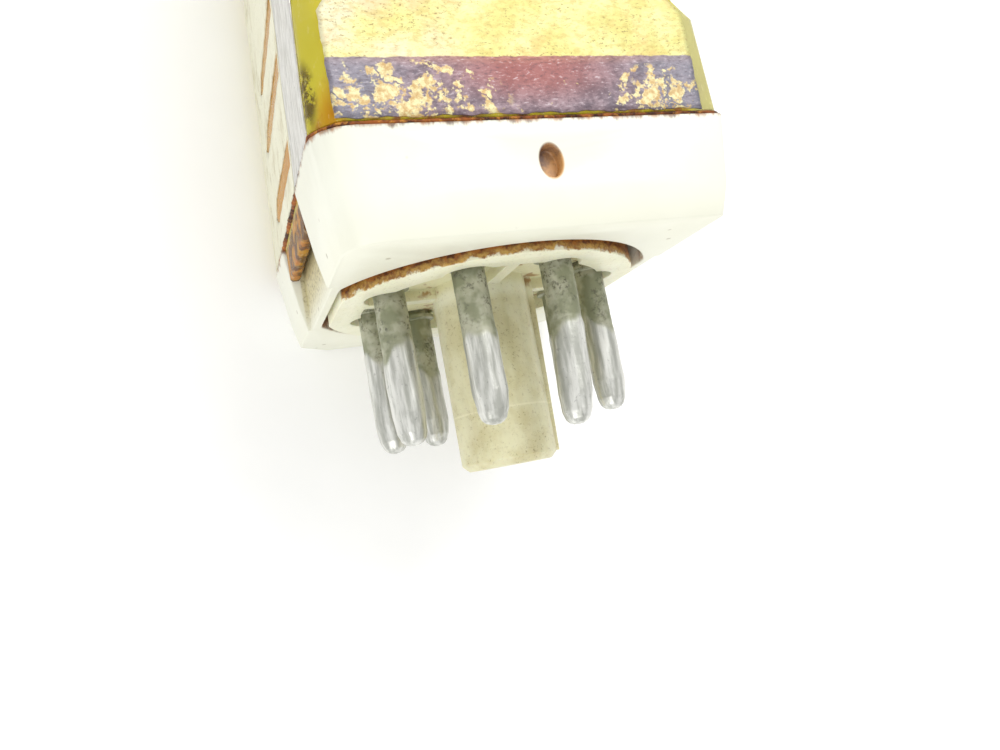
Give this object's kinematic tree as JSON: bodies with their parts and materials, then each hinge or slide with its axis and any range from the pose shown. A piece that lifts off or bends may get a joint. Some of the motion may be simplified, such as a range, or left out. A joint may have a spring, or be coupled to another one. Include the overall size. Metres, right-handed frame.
{
  "type": "plug-in control relay",
  "caption": "Octal plug-in control relay: ivory pin base with keyed centre post and hollow pins, clear amber cover, foil labels, and a coil, armature and changeover contacts inside.",
  "frame": {"origin": "centre of the footprint of the relay lying on its back, on the surface it rests on", "axes": "+X across the relay, +Y from the pins towards the top of the cover, +Z out of the label face"},
  "size_m": [0.0283, 0.0668, 0.033],
  "materials": {
    "ivory_base": "moulded ivory plastic, slightly glossy, stained at the rim",
    "cream_header": "moulded cream plastic, faintly translucent, speckled",
    "tinned_pin": "tinned brass tube, dull at the root and solder dipped below",
    "amber_cover": "clear moulded cover aged to amber",
    "front_label_foil": "pale gold foil label with a dark purple lower band",
    "side_label_foil": "silver-white foil label with cream rear field",
    "yoke_steel": "zinc-plated soft steel",
    "bobbin_nylon": "moulded nylon",
    "enamelled_copper": "enamelled copper winding",
    "coil_tape_film": "amber insulating tape",
    "core_iron": "plated soft iron",
    "armature_steel": "plated soft iron plate",
    "carrier_phenolic": "brown phenolic",
    "block_phenolic": "brown phenolic",
    "spring_bronze": "rolled spring bronze",
    "contact_silver": "silver alloy contact faces",
    "rivet_brass": "brass rivet",
    "terminal_brass": "stamped brass strip",
    "screw_steel": "zinc-plated steel screw",
    "spring_steel": "spring steel wire",
    "lead_sleeve": "pale insulating sleeve"
  },
  "bodies": {
    "base": {"armature_clip": "spring_bronze", "base_shell": "ivory_base", "break_contact_left": "contact_silver", "break_contact_right": "contact_silver", "break_lead_left": "lead_sleeve", "break_lead_right": "lead_sleeve", "break_rivet_left": "rivet_brass", "break_rivet_right": "rivet_brass", "break_terminal_left": "terminal_brass", "break_terminal_right": "terminal_brass", "coil_bobbin": "bobbin_nylon", "coil_lead_left": "lead_sleeve", "coil_lead_right": "lead_sleeve", "coil_tape": "coil_tape_film", "coil_winding": "enamelled_copper", "common_lead_left": "lead_sleeve", "common_lead_right": "lead_sleeve", "contact_block": "block_phenolic", "contact_pin_1": "tinned_pin", "contact_pin_2": "tinned_pin", "contact_pin_3": "tinned_pin", "contact_pin_4": "tinned_pin", "contact_pin_5": "tinned_pin", "contact_pin_6": "tinned_pin", "contact_pin_7": "tinned_pin", "contact_pin_8": "tinned_pin", "core": "core_iron", "frame_screw_left": "screw_steel", "frame_screw_right": "screw_steel", "make_contact_left": "contact_silver", "make_contact_right": "contact_silver", "make_lead_left": "lead_sleeve", "make_lead_right": "lead_sleeve", "make_rivet_left": "rivet_brass", "make_rivet_right": "rivet_brass", "make_terminal_left": "terminal_brass", "make_terminal_right": "terminal_brass", "pin_header": "cream_header", "return_spring": "spring_steel", "yoke": "yoke_steel"},
    "armature": {"armature": "armature_steel", "contact_carrier": "carrier_phenolic", "moving_blade_left": "spring_bronze", "moving_blade_right": "spring_bronze", "moving_contact_left": "contact_silver", "moving_contact_right": "contact_silver", "blade_rivet_left": "rivet_brass", "blade_rivet_right": "rivet_brass"},
    "cover": {"cover": "amber_cover", "front_label": "front_label_foil", "side_label": "side_label_foil"}
  },
  "joints": [
    {"name": "armature_pull_in", "type": "hinge", "parent": "base", "child": "armature", "pos_m": [0, 0.01988, 0.003], "axis": [1, 0, 0], "range_deg": [0, 3.8], "stiffness_Nm_per_rad": 0.05, "springref_deg": -11.46, "deforming": ["return_spring"]},
    {"name": "cover_pull", "type": "slide", "parent": "base", "child": "cover", "axis": [0, 1, 0], "range_m": [0, 0.048]}
  ]
}
